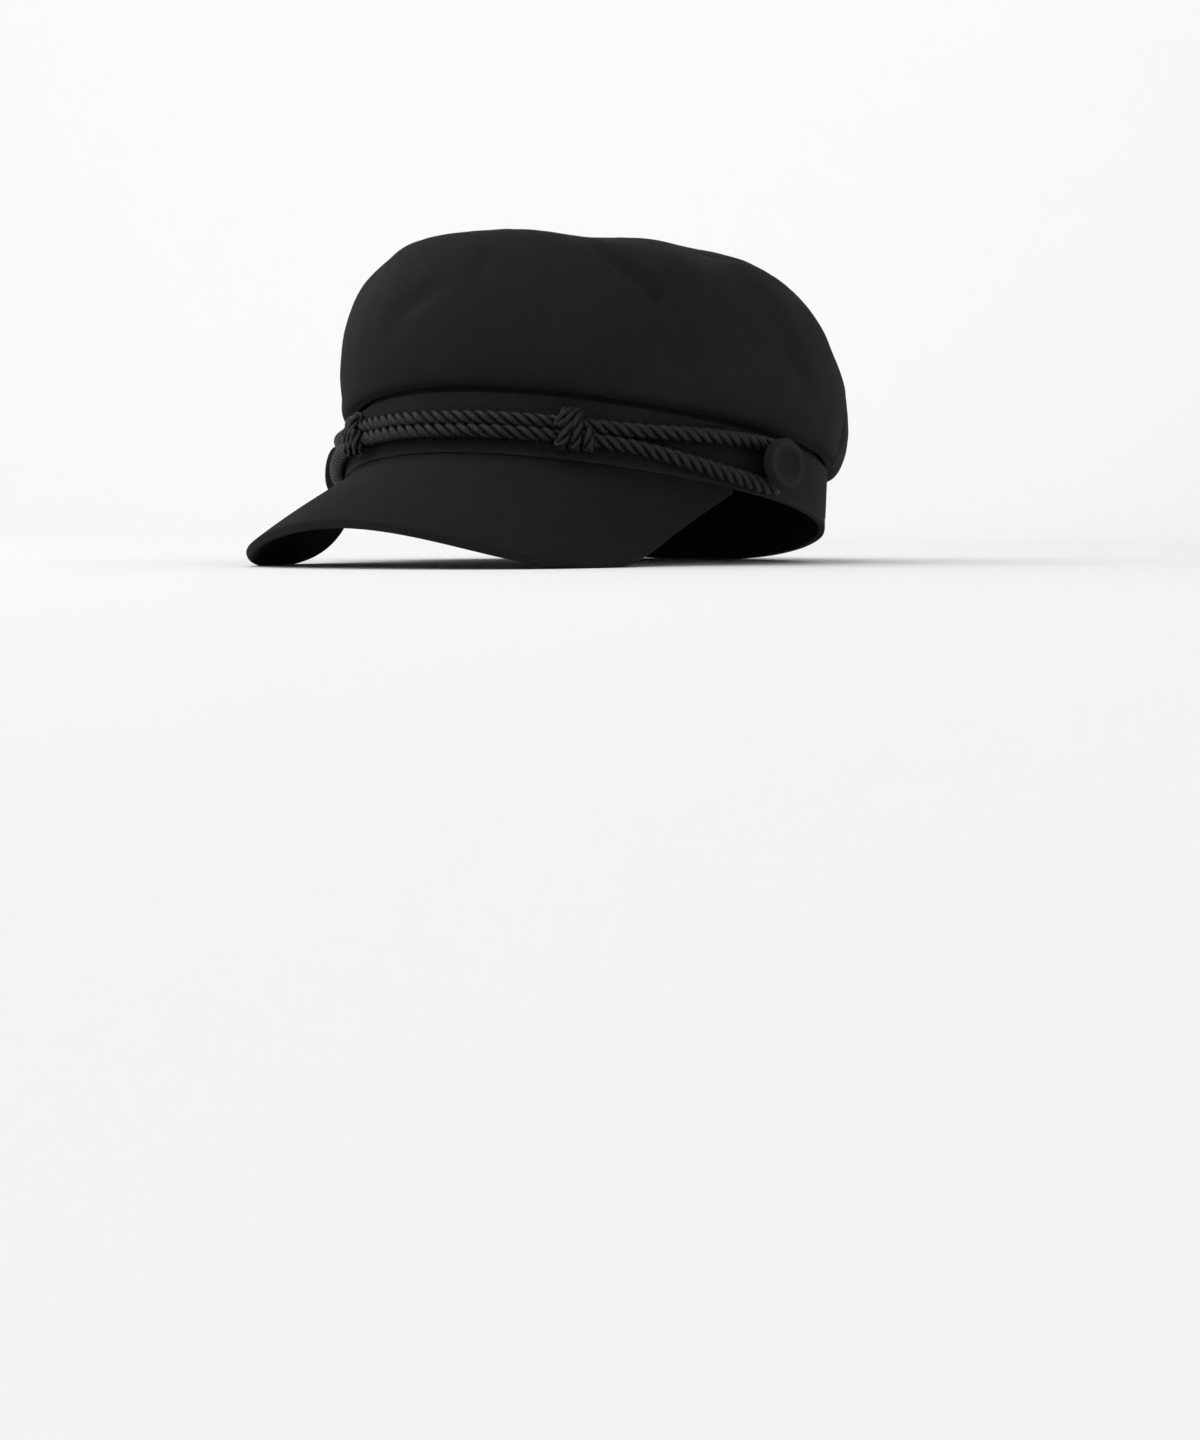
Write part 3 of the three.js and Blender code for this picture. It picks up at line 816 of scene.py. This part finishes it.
def crown_side():
    """The crown's wall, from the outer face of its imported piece."""
    rim_width = 0.0021
    obj = solid_copy("crown_side", "crown_side_cloth")
    outer_wall(obj, rim_width)
    quads(obj)
    lay_flat_map(obj, wall_flat)
    subdivide(obj, 2)
    height = in_band_frame(points_of(obj))[:, 2]
    middle = (height.min() + height.max()) / 2
    is_high = lambda co: in_band_frame(np.array(co))[2] > middle
    seam = border_tree(obj, is_high)
    foot = border_tree(obj, lambda co: not is_high(co))
    soften(obj, seam, foot)
    thicken(obj)
    ride(obj, CROWN_CLOTH, "crown_side")


def seam_allowance(obj):
    """The top panel's turned-in edge, which lies under the side's cloth and closes the seam."""
    name = "crown_top_allowance"
    points, normals = points_of(obj), normals_of(obj)
    border = np.array(border_of(obj))
    border = border[np.argsort(angle_round(in_band_frame(points[border])))]
    line, over = points[border], normals[border]
    out = np.cross(directions(line), over)
    out /= np.linalg.norm(out, axis=1, keepdims=True)
    rings = np.stack([line + out * away - over * deep for away, deep in ALLOWANCE], 1)
    strip = new_mesh(name, rings, tube_faces(len(line), len(ALLOWANCE), closed=True))
    face_outwards(strip)
    lay_flat_map(strip, seen_from_above)
    mark(strip, "wear_and_highlight", np.zeros(len(points_of(strip))))
    return strip


def top_skin(name):
    """The upper face of the top panel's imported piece."""
    steepest = 0.35
    obj = solid_copy("crown_top", name)
    select_faces(obj, lambda face: face.normal.z < steepest)
    bpy.ops.mesh.delete(type="FACE")
    pick(obj)
    return obj


def crown_top():
    """The top panel: its rim is filled with an even grid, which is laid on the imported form."""
    form = top_skin("crown_top_form")
    subdivide(form, 2)
    obj = top_skin("crown_top_cloth")
    edit_border(obj)
    bpy.ops.mesh.select_all(action="INVERT")
    bpy.ops.mesh.delete(type="EDGE")
    bpy.ops.mesh.select_all(action="SELECT")
    bpy.ops.mesh.fill_grid(span=20, offset=5)
    finish_modifier(obj, "SHRINKWRAP", target=form, wrap_method="PROJECT", use_project_z=True,
                    use_positive_direction=True, use_negative_direction=True)
    bpy.data.objects.remove(form)
    if sum(face.normal.z for face in obj.data.polygons) < 0:
        edit_all(obj)
        bpy.ops.mesh.flip_normals()
        pick(obj)
    lay_flat_map(obj, seen_from_above)
    subdivide(obj, 3)
    soften(obj, border_tree(obj, lambda co: True), None)
    allowance = seam_allowance(obj)
    thicken(obj)
    obj = join("crown_top_cloth", [obj, allowance])
    ride(obj, CROWN_CLOTH, "crown_top")


# ---------- band ----------
def section_path(corners, radius, steps=3):
    """A closed section with rounded corners, as (out, height) points."""
    path = []
    count = len(corners)
    for i, corner in enumerate(corners):
        corner = np.array(corner)
        before = np.array(corners[i - 1]) - corner
        after = np.array(corners[(i + 1) % count]) - corner
        start = corner + before / np.linalg.norm(before) * radius
        end = corner + after / np.linalg.norm(after) * radius
        for k in range(steps + 1):
            t = k / steps
            path.append((1 - t) ** 2 * start + 2 * t * (1 - t) * corner + t ** 2 * end)
    return np.array(path)


def band():
    """The band: its section, with a turned-in lip inside the crown, is laid round the outline."""
    around, row_height, rounding = 240, 0.0012, 0.00029
    step_in, lip = -0.0042, -0.0048
    lip_top, lip_foot = BAND_HEIGHT + 0.0034, BAND_HEIGHT - 0.002
    thick, thick_at = -BAND_WALL - 0.0006, BAND_HEIGHT - 0.0045
    hem_line, top_line, line_width, top_share = 0.0034, 0.0185, 0.0007, 0.7
    relief, face_depth, soft_round, soft_up = 0.0002, 0.0004, 7, 90
    corners = [(0, 0), (-BAND_TAPER, BAND_HEIGHT), (step_in, BAND_HEIGHT), (step_in, lip_top),
               (lip, lip_top), (lip, lip_foot), (thick, thick_at), (-BAND_WALL, 0)]
    path = section_path(corners, rounding)
    dense = [path[0]]
    for a, b in zip(path, np.roll(path, -1, axis=0)):
        parts = max(1, int(np.ceil(np.linalg.norm(b - a) / row_height)))
        dense += [a + (b - a) * k / parts for k in range(1, parts + 1)]
    dense = np.array(dense)
    lengths = lengths_along(dense)
    rows = len(dense) - 1

    def place(u, v):
        k = np.rint(v * rows).astype(int)
        angle = (u - 0.5) * 2 * math.pi
        out, height = dense[k, 0], dense[k, 1]
        on_face = falloff(out - band_lean(height), face_depth)
        pressed = (falloff(height - hem_line, line_width)
                   + top_share * falloff(height - top_line, line_width))
        spots = [np.sin(angle) * soft_round, np.cos(angle) * soft_round, height * soft_up]
        soft = np.array([noise.noise(Vector(spot)) for spot in np.stack(spots, -1)])
        out = out + on_face * relief * (soft - pressed)
        points = at_rest(outline(angle, out, height))
        points[:, 2] = np.maximum(points[:, 2], 0.0)
        return points, np.stack([angle * BAND_MAP_RADIUS, lengths[k]], -1)

    obj = cloth_grid("band_cloth", place, around, rows)
    own = in_band_frame(points_of(obj))
    # A paler line along the hem: wear and a painted highlight on its edge
    wear_highlight_share, wear_highlight_width = 0.7, 0.0014
    mark(obj, "wear_and_highlight", wear_highlight_share * falloff(own[:, 2], wear_highlight_width))
    ride(obj, CROWN_CLOTH, "band")


# ---------- peak ----------
def along_peak(share, values):
    """A smooth value along the peak, through the named sections."""
    shares = np.array(PEAK_SHARES, float)
    values = np.array(values, float)
    secant = np.diff(values) / np.diff(shares)
    slope = np.concatenate([[secant[0]], (secant[1:] + secant[:-1]) / 2, [secant[-1]]])
    i = np.clip(np.searchsorted(shares, share, side="right") - 1, 0, len(shares) - 2)
    step = shares[i + 1] - shares[i]
    t = (share - shares[i]) / step
    low = (2 * t ** 3 - 3 * t ** 2 + 1) * values[i] + (t ** 3 - 2 * t ** 2 + t) * step * slope[i]
    high = (-2 * t ** 3 + 3 * t ** 2) * values[i + 1] + (t ** 3 - t ** 2) * step * slope[i + 1]
    return low + high


def peak_point(share, from_edge, below):
    """A point of the peak, by its share along the band, distance from the edge and depth."""
    length = along_peak(share, PEAK_LENGTHS)
    slope = np.radians(along_peak(share, PEAK_SLOPES))
    along = 1 - from_edge / length
    camber = 4 * PEAK_CAMBER * (length / max(PEAK_LENGTHS))
    arch = camber * along * (1 - along) - below
    out = PEAK_ROOT + along * length * np.cos(slope) + arch * np.sin(slope)
    height = -GAP - along * length * np.sin(slope) + arch * np.cos(slope)
    at_seam = falloff(along * length, PEAK_SEAM_WIDTH) * (below == 0)
    height += (GAP - PEAK_SEAM_GAP) * at_seam
    points = at_rest(outline(share * PEAK_REACH, out, height))
    points[..., 2] = np.maximum(points[..., 2], 0.0)
    return points


def peak_section(border, rim):
    """The peak's section in rows. "inner" rows give a share of the way from the band to the
    border, "edge" rows the distance from the rim, and all the depth under the upper face."""
    inward, seam_row, turn_from, turn_rows = 10, 0.025, 0.5, 9
    rows = [("inner", k / inward, 0.0) for k in range(inward)]
    rows.insert(1, ("inner", seam_row, 0.0))
    rows += [("edge", away, 0.0) for away in border]
    turn = [("edge", rim - rim * math.sin(a), PEAK_WALL / 2 - PEAK_WALL / 2 * math.cos(a))
            for a in np.linspace(turn_from, math.pi - turn_from, turn_rows)]
    under = [(kind, away, PEAK_WALL - depth) for kind, away, depth in rows[::-1]]
    sides = [1] * (len(rows) + len(turn)) + [-1] * len(under) + [1]
    return rows + turn + under + rows[:1], np.array(sides)


def peak():
    """The peak: two faces and a rounded rim, laid along the front of the band."""
    border = [0.0115, 0.009, 0.007, 0.0058, 0.005, 0.0045, 0.004,
              0.0035, 0.003, 0.0024, 0.0018, 0.0013, 0.0008]
    steps, full_border_at = 220, 0.02
    path, sides = peak_section(border, border[-1])
    from_rim = np.array([kind == "edge" for kind, _, _ in path])
    distance = np.array([away for _, away, _ in path])
    depth = np.array([deep for _, _, deep in path])

    def place(u, v):
        k = np.rint(v * (len(path) - 1)).astype(int)
        share = np.clip((u - 0.5) * 2, -1, 1)
        length = along_peak(share, PEAK_LENGTHS)
        squeeze = np.minimum(1, length / full_border_at)
        inner = length - distance[k] * (length - border[0] * squeeze)
        from_edge = np.where(from_rim[k], distance[k] * squeeze, inner)
        flat = [share * PEAK_REACH * PEAK_MAP_RADIUS, sides[k] * from_edge - depth[k]]
        return peak_point(share, from_edge, depth[k]), np.stack(flat, -1)

    obj = cloth_grid("peak_cloth", place, steps, len(path) - 1)
    edit_border(obj)
    bpy.ops.mesh.edge_face_add()
    face_outwards(obj)
    # A paler line round the peak's rounded rim: wear and a painted highlight
    samples, wear_highlight_share, wear_highlight_width = 800, 0.5, 0.0016
    middle_depth = np.full(samples, PEAK_WALL / 2)
    rim_line = peak_point(np.linspace(-1, 1, samples), np.zeros(samples), middle_depth)
    away = distances(point_tree(rim_line), points_of(obj))
    mark(obj, "wear_and_highlight", wear_highlight_share * falloff(away, wear_highlight_width))
    ride(obj, SHADED_PEAK_CLOTH, "peak")


# ---------- cord ----------
def part_way(s, low, high, a, b):
    """The value at s on the straight line from a at low to b at high."""
    return (high - s) / (high - low) * a + (s - low) / (high - low) * b


def round_curve(points, samples):
    """A smooth closed curve through points, by centripetal spans, evenly stepped."""
    count, span_steps = len(points), 24
    curve = []
    for i in range(count):
        p = [points[(i + k - 1) % count] for k in range(4)]
        t = [0.0]
        for a, b in zip(p, p[1:]):
            t.append(t[-1] + max(np.linalg.norm(b - a), 1e-9) ** 0.5)
        for s in np.linspace(t[1], t[2], span_steps, endpoint=False):
            q = [part_way(s, t[k], t[k + 1], p[k], p[k + 1]) for k in range(3)]
            q = [part_way(s, t[k], t[k + 2], q[k], q[k + 1]) for k in range(2)]
            curve.append(part_way(s, t[1], t[2], q[0], q[1]))
    closed = np.array(curve + curve[:1])
    along = lengths_along(closed)
    at = np.arange(samples) * along[-1] / samples
    return np.stack([np.interp(at, along, closed[:, k]) for k in range(3)], -1), along[-1]


def cord_middle(arc):
    """The height midway between the cord's two runs."""
    share = min(abs(arc) / BUTTON_ARC, 1)
    return CORD_LOW + (CORD_LOW_SIDE - CORD_LOW) * share


def cord_route():
    """Arc and height of the cord's loop: upper run, one turn, lower run and the other turn."""
    close = CORD_RADIUS - CORD_PRESS
    end = KNOT_ARC + KNOT_LENGTH / 2
    run = [(end * i / 6, close) for i in range(-6, 7)]
    for i in range(1, 4):
        t = i / 4
        arc = end + (BUTTON_ARC - end) * t
        apart = close + (CORD_TURN - close) * t * t * (3 - 2 * t)
        run = [(-arc, apart)] + run + [(arc, apart)]
    upper = [(arc, cord_middle(arc) + apart) for arc, apart in run]
    lower = [(arc, cord_middle(arc) - apart) for arc, apart in run[::-1]]

    def turn(side):
        angles = [math.pi / 2 - math.pi * i / 6 for i in range(7)]
        return [(side * (BUTTON_ARC + CORD_TURN * math.cos(a)),
                 CORD_LOW_SIDE + side * CORD_TURN * math.sin(a)) for a in angles]

    return np.array(upper + turn(1) + lower + turn(-1))


def strand_mesh(name, centre, over, radius, sides, closed):
    """A round strand along a line, with its own UV map: metres along it, and turns round it."""
    count = len(centre)
    along = lengths_along(np.vstack([centre, centre[:1]]))
    ahead = directions(centre, closed)
    side = np.cross(ahead, over)
    side /= np.linalg.norm(side, axis=1, keepdims=True)
    over = np.cross(side, ahead)
    over /= np.linalg.norm(over, axis=1, keepdims=True)
    turn = (np.arange(sides) * 2 * math.pi / sides)[None, :, None]
    away = np.cos(turn) * over[:, None] + np.sin(turn) * side[:, None]
    faces = tube_faces(count, sides, closed)
    maps = []
    for i in range(len(faces) // sides):
        for k in range(sides):
            low, high = k / sides, (k + 1) / sides
            maps += [(along[i], low), (along[i], high), (along[i + 1], high), (along[i + 1], low)]
    if not closed:
        faces.append(tuple(range(sides - 1, -1, -1)))
        faces.append(tuple((count - 1) * sides + k for k in range(sides)))
        maps += [(0, 0)] * (2 * sides)
    obj = new_mesh(name, centre[:, None] + radius * away, faces)
    layer = obj.data.uv_layers.new(name="UVMap")
    layer.data.foreach_set("uv", np.array(maps, float).ravel())
    face_outwards(obj)
    return obj


def twisted(name, line, outward, turns, radius, start=0.0, closed=True, sides=10):
    """Three strands laid round each other along a line."""
    ahead = directions(line, closed)
    side = np.cross(ahead, outward)
    side /= np.linalg.norm(side, axis=1, keepdims=True)
    over = np.cross(side, ahead)
    count = len(line)
    share = np.arange(count) / (count if closed else count - 1)
    parts = []
    for k in range(STRANDS):
        turn = start + 2 * math.pi * (turns * share + k / STRANDS)
        away = np.cos(turn)[:, None] * over + np.sin(turn)[:, None] * side
        centre = line + away * radius * STRAND_OUT
        size = radius * STRAND_SIZE
        parts.append(strand_mesh(f"{name}_{k}", centre, away, size, sides, closed))
    return join(name, parts)


def cord():
    """The cord's loop. An odd number of twists lets the strands of its runs line up in front."""
    route = cord_route()
    lift = np.full(len(route), CORD_LIFT)
    line, length = round_curve(face_point(route[:, 0], route[:, 1], lift), CORD_RINGS)
    turns = 2 * round(length / CORD_LAY / 2) + 1
    at_front = np.argmin(np.abs(line[:, 0]) + (line[:, 1] > 0) + (line[:, 2] < CORD_LOW))
    start = -2 * math.pi * turns * at_front / CORD_RINGS
    outward = outward_at(angle_round(line)) @ np.array(AT_REST)[:3, :3].T
    obj = twisted("twisted_cord", at_rest(line), outward, turns, CORD_RADIUS, start)
    ride(obj, CORD_YARN, "cord")


def knot(name, node, side):
    """The sliding knot: a short cord wound round both runs, its turns drawn together at the top."""
    thick, rise, fullness = KNOT_CORD_RADIUS, 0.6, 0.7
    t = np.linspace(0, 1, KNOT_RINGS)
    wind = 2 * math.pi * KNOT_TURNS * t
    upright, front = np.sin(wind), (1 + np.cos(wind)) / 2
    middle = cord_middle(KNOT_ARC)
    spread = (KNOT_LENGTH / 2 - thick) * (2 * t - 1)
    arc = side * KNOT_ARC + spread * (1 - KNOT_FAN * upright)
    height = middle + (KNOT_HEIGHT / 2 - thick) * upright
    behind = KNOT_BEHIND + thick * rise
    out = behind + (KNOT_DEPTH - thick - behind) * front ** fullness
    line = at_rest(face_point(arc, height, out))
    centre = at_rest(face_point(arc, np.full(KNOT_RINGS, middle), np.full(KNOT_RINGS, CORD_LIFT)))
    away = line - centre
    away /= np.linalg.norm(away, axis=1, keepdims=True)
    turns = lengths_along(line)[-1] / KNOT_CORD_LAY
    obj = twisted(name, line, away, turns, thick, closed=False, sides=8)
    ride(obj, CORD_YARN, node)


# ---------- buttons ----------
def button(name, node, side):
    """A flat covered button: a turned disc with a raised rim, on its shank."""
    back = 2 * CORD_LIFT + GAP
    facing, close = 0.9, 1e-5
    bpy.ops.mesh.primitive_cylinder_add(vertices=48, radius=BUTTON_RADIUS, depth=BUTTON_THICK,
                                        location=(0, 0, back + BUTTON_THICK / 2))
    obj = bpy.context.object
    obj.name = obj.data.name = name
    bpy.ops.object.transform_apply()

    def on_rim(a, b):
        least = min(math.hypot(a.x, a.y), math.hypot(b.x, b.y))
        return least > BUTTON_RADIUS - close and abs(a.z - b.z) < close

    select_faces(obj, lambda face: face.normal.z > facing)
    for width, height in BUTTON_FACE:
        bpy.ops.mesh.inset(thickness=width, depth=height)
    select_faces(obj, lambda face: face.normal.z < -facing)
    bpy.ops.mesh.inset(thickness=BUTTON_RADIUS - SHANK_RADIUS, depth=0)
    bpy.ops.mesh.extrude_region_move(TRANSFORM_OT_translate={"value": (0, 0, -back)})
    select_edges(obj, on_rim)
    bpy.ops.mesh.bevel(offset=BUTTON_ROUNDING, segments=4)
    subdivide(obj, 2)
    gather_rim(obj, back, seed=4.0 + side)
    wrap_map(obj)
    angle = np.array([side * BUTTON_ANGLE])
    root = outline(angle, band_lean(CORD_LOW_SIDE) + GAP, CORD_LOW_SIDE)[0]
    away = outward_at(angle)[0]
    away[2] = BAND_TAPER / BAND_HEIGHT
    turn = Vector(away).normalized().to_track_quat("Z", "Y").to_matrix().to_4x4()
    obj.data.transform(AT_REST @ Matrix.Translation(Vector(root)) @ turn)
    ride(obj, BUTTON_CLOTH, node)


def gather_rim(obj, back, seed):
    """Small tucks where the button's cover goes round its edge, and a paler ring on its face,
    partly wear and partly a painted highlight on its raised rim.
    """
    tuck, tucks_per_radian = 0.00022, 5
    gathered_from, gathered_over, cover_above = 0.0066, 0.002, 0.0002
    ring, ring_width, face_depth = 0.0068, 0.0012, 0.001
    points = points_of(obj)
    radius = np.hypot(points[:, 0], points[:, 1])
    around = np.arctan2(points[:, 0], points[:, 1])
    move = tuck * uneven_round(around, tucks_per_radian, seed)
    move *= np.clip((radius - gathered_from) / gathered_over, 0, 1)
    move *= points[:, 2] > back + cover_above
    points[:, :2] += points[:, :2] / np.maximum(radius, 1e-6)[:, None] * move[:, None]
    put_points(obj, points)
    # The paler ring: wear, and a painted highlight on the raised rim
    on_face = points[:, 2] > back + BUTTON_THICK - face_depth
    mark(obj, "wear_and_highlight", falloff(radius - ring, ring_width) * on_face)


def wrap_map(obj):
    """The button's UV map: its cover lies flat on the face and goes on round the edge."""
    edge_from = 0.0075
    mesh = obj.data
    layer = mesh.uv_layers.active
    for loop in mesh.loops:
        x, y, z = mesh.vertices[loop.vertex_index].co
        layer.data[loop.index].uv = (x + (z if math.hypot(x, y) > edge_from else 0), y)


# ---------- the room ----------
def floor():
    """A pale floor that sweeps up all round, far from the cap."""
    flat, sweep, top, curve_from, curve_rows = 1.6, 0.7, 1.6, 0.1, 12
    profile = [(flat, 0.0)]
    profile += [(flat + sweep * math.sin(a), sweep - sweep * math.cos(a))
                for a in np.linspace(curve_from, math.pi / 2, curve_rows)]
    profile += [(flat + sweep, top)]
    bpy.ops.mesh.primitive_circle_add(vertices=96, radius=flat, fill_type="NGON")
    obj = bpy.context.object
    obj.name = obj.data.name = "floor"
    edit_border(obj)
    for (r0, z0), (r1, z1) in zip(profile, profile[1:]):
        bpy.ops.mesh.extrude_edges_move(TRANSFORM_OT_translate={"value": (0, 0, z1 - z0)})
        bpy.ops.transform.resize(value=(r1 / r0, r1 / r0, 1), center_override=(0, 0, 0))
    bpy.ops.mesh.select_all(action="SELECT")
    bpy.ops.mesh.normals_make_consistent(inside=True)
    pick(obj)
    bpy.ops.object.shade_smooth_by_angle(angle=math.radians(30))
    finish, _, shader = new_finish(
        "pale_floor", roughness=0.9, gloss=0.1, sheen=0.0, sheen_roughness=0.5)
    shader.inputs["Base Color"].default_value = FLOOR_COLOUR
    obj.data.materials.append(finish)


def soft_light(name, place, aim, size, power):
    light = bpy.data.lights.new(name, "AREA")
    light.shape = "RECTANGLE"
    light.size, light.size_y = size
    light.energy = power
    obj = bpy.data.objects.new(name, light)
    bpy.context.scene.collection.objects.link(obj)
    obj.location = place
    obj.rotation_mode = "QUATERNION"
    obj.rotation_quaternion = (Vector(aim) - Vector(place)).to_track_quat("-Z", "Y")


def room():
    """The floor, the lights and the pale daylight all round."""
    floor()
    for light in LIGHTS:
        soft_light(*light)
    world = bpy.data.worlds.new("soft room")
    world.use_nodes = True
    shade = world.node_tree.nodes["Background"]
    shade.inputs["Color"].default_value = DAYLIGHT
    shade.inputs["Strength"].default_value = DAYLIGHT_STRENGTH
    bpy.context.scene.world = world
    bpy.context.scene.view_settings.view_transform = "Standard"


def camera():
    data = bpy.data.cameras.new("camera")
    data.lens = CAMERA_LENS
    data.clip_start = 0.01
    obj = bpy.data.objects.new("camera", data)
    bpy.context.scene.collection.objects.link(obj)
    obj.location = CAMERA_PLACE
    obj.rotation_euler = (math.radians(90 - CAMERA_DOWN), 0, math.radians(CAMERA_TURN))
    bpy.context.scene.camera = obj


camera()
cord()
knot("wound_knot_left", "knot_left", 1)
knot("wound_knot_right", "knot_right", -1)
crown_side()
crown_top()
band()
peak()
button("covered_button_left", "button_left", 1)
button("covered_button_right", "button_right", -1)
room()
